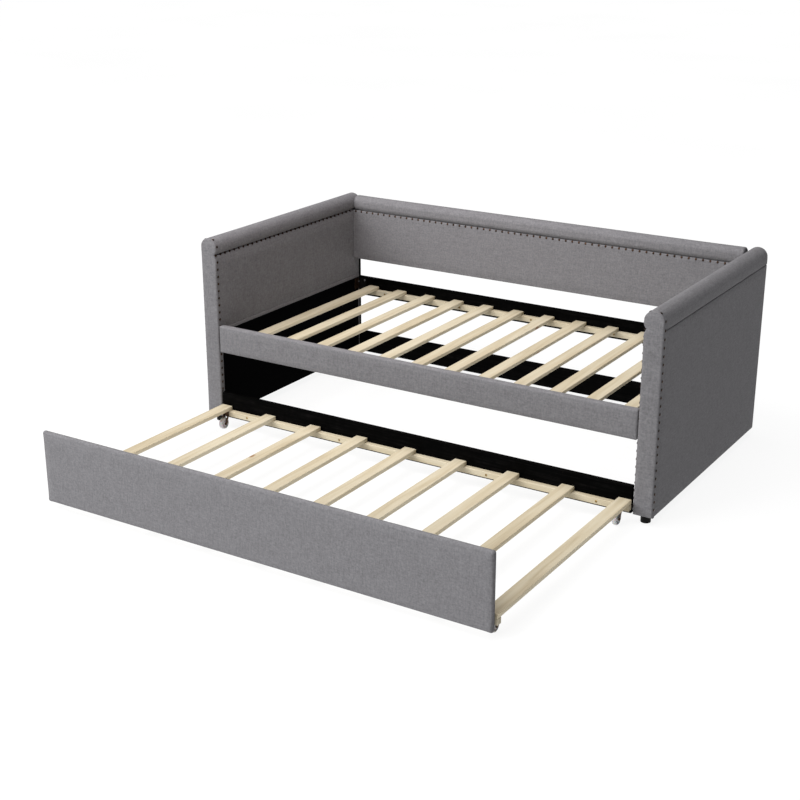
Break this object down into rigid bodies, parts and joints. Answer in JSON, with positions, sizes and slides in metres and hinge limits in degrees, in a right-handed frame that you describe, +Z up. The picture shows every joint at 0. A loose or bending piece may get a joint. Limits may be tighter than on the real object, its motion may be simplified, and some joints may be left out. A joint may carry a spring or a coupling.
{
  "type": "trundle daybed",
  "caption": "Upholstered daybed with low padded arms and back, a slat base, and a slatted trundle that rolls out from under it on casters.",
  "frame": {"origin": "on the floor, under the middle of the whole object with its trundle pulled out", "axes": "+X along the bed to the right seen from the front, +Y from the trundle to the back of the bed, +Z up"},
  "size_m": [2.09, 2.158, 0.823],
  "materials": {
    "upholstery": "mid-grey woven linen-look upholstery",
    "lining": "black non-woven lining",
    "core_board": "unfinished board, hidden",
    "black_board": "black laminated board",
    "pine": "planed natural pine",
    "foot_plastic": "black moulded plastic",
    "black_steel": "black painted steel",
    "bronze_steel": "bronze plated steel",
    "white_nylon": "white nylon"
  },
  "bodies": {
    "daybed": {"back_cleat": "pine", "back_core": "core_board", "back_cover": "upholstery", "back_rail": "black_board", "back_roll": "upholstery", "bracket_back_left": "black_steel", "bracket_back_right": "black_steel", "bracket_front_left": "black_steel", "bracket_front_right": "black_steel", "foot_back_left": "foot_plastic", "foot_back_right": "foot_plastic", "foot_front_left": "foot_plastic", "foot_front_right": "foot_plastic", "front_cleat": "pine", "front_rail_board": "black_board", "front_rail_cover": "upholstery", "left_arm_core": "core_board", "left_arm_cover": "upholstery", "left_arm_liner": "lining", "left_arm_roll": "upholstery", "lower_back_rail": "black_board", "right_arm_core": "core_board", "right_arm_cover": "upholstery", "right_arm_liner": "lining", "right_arm_roll": "upholstery", "slat_01": "pine", "slat_02": "pine", "slat_03": "pine", "slat_04": "pine", "slat_05": "pine", "slat_06": "pine", "slat_07": "pine", "slat_08": "pine", "slat_09": "pine", "slat_10": "pine", "slat_11": "pine", "slat_12": "pine"},
    "trundle": {"caster_fork_back_left": "bronze_steel", "caster_fork_back_right": "bronze_steel", "caster_fork_front_left": "bronze_steel", "caster_fork_front_right": "bronze_steel", "trundle_back_board": "black_board", "trundle_back_cleat": "pine", "trundle_front_board": "black_board", "trundle_front_cleat": "pine", "trundle_front_cover": "upholstery", "trundle_slat_01": "pine", "trundle_slat_02": "pine", "trundle_slat_03": "pine", "trundle_slat_04": "pine", "trundle_slat_05": "pine", "trundle_slat_06": "pine", "trundle_slat_07": "pine", "trundle_slat_08": "pine", "trundle_slat_09": "pine"},
    "wheel_front_left": {"caster_wheel_front_left": "white_nylon"},
    "wheel_front_right": {"caster_wheel_front_right": "white_nylon"},
    "wheel_back_left": {"caster_wheel_back_left": "white_nylon"},
    "wheel_back_right": {"caster_wheel_back_right": "white_nylon"}
  },
  "joints": [
    {"name": "trundle_slide", "type": "slide", "parent": "daybed", "child": "trundle", "axis": [0, 1, 0], "range_m": [-0.2, 1.0615]},
    {"name": "wheel_front_left_spin", "type": "hinge", "parent": "trundle", "child": "wheel_front_left", "pos_m": [-0.923, -1.012, 0.0245], "axis": [1, 0, 0], "continuous": true},
    {"name": "wheel_front_right_spin", "type": "hinge", "parent": "trundle", "child": "wheel_front_right", "pos_m": [0.923, -1.012, 0.0245], "axis": [1, 0, 0], "continuous": true},
    {"name": "wheel_back_left_spin", "type": "hinge", "parent": "trundle", "child": "wheel_back_left", "pos_m": [-0.923, -0.066, 0.0245], "axis": [1, 0, 0], "continuous": true},
    {"name": "wheel_back_right_spin", "type": "hinge", "parent": "trundle", "child": "wheel_back_right", "pos_m": [0.923, -0.066, 0.0245], "axis": [1, 0, 0], "continuous": true}
  ]
}
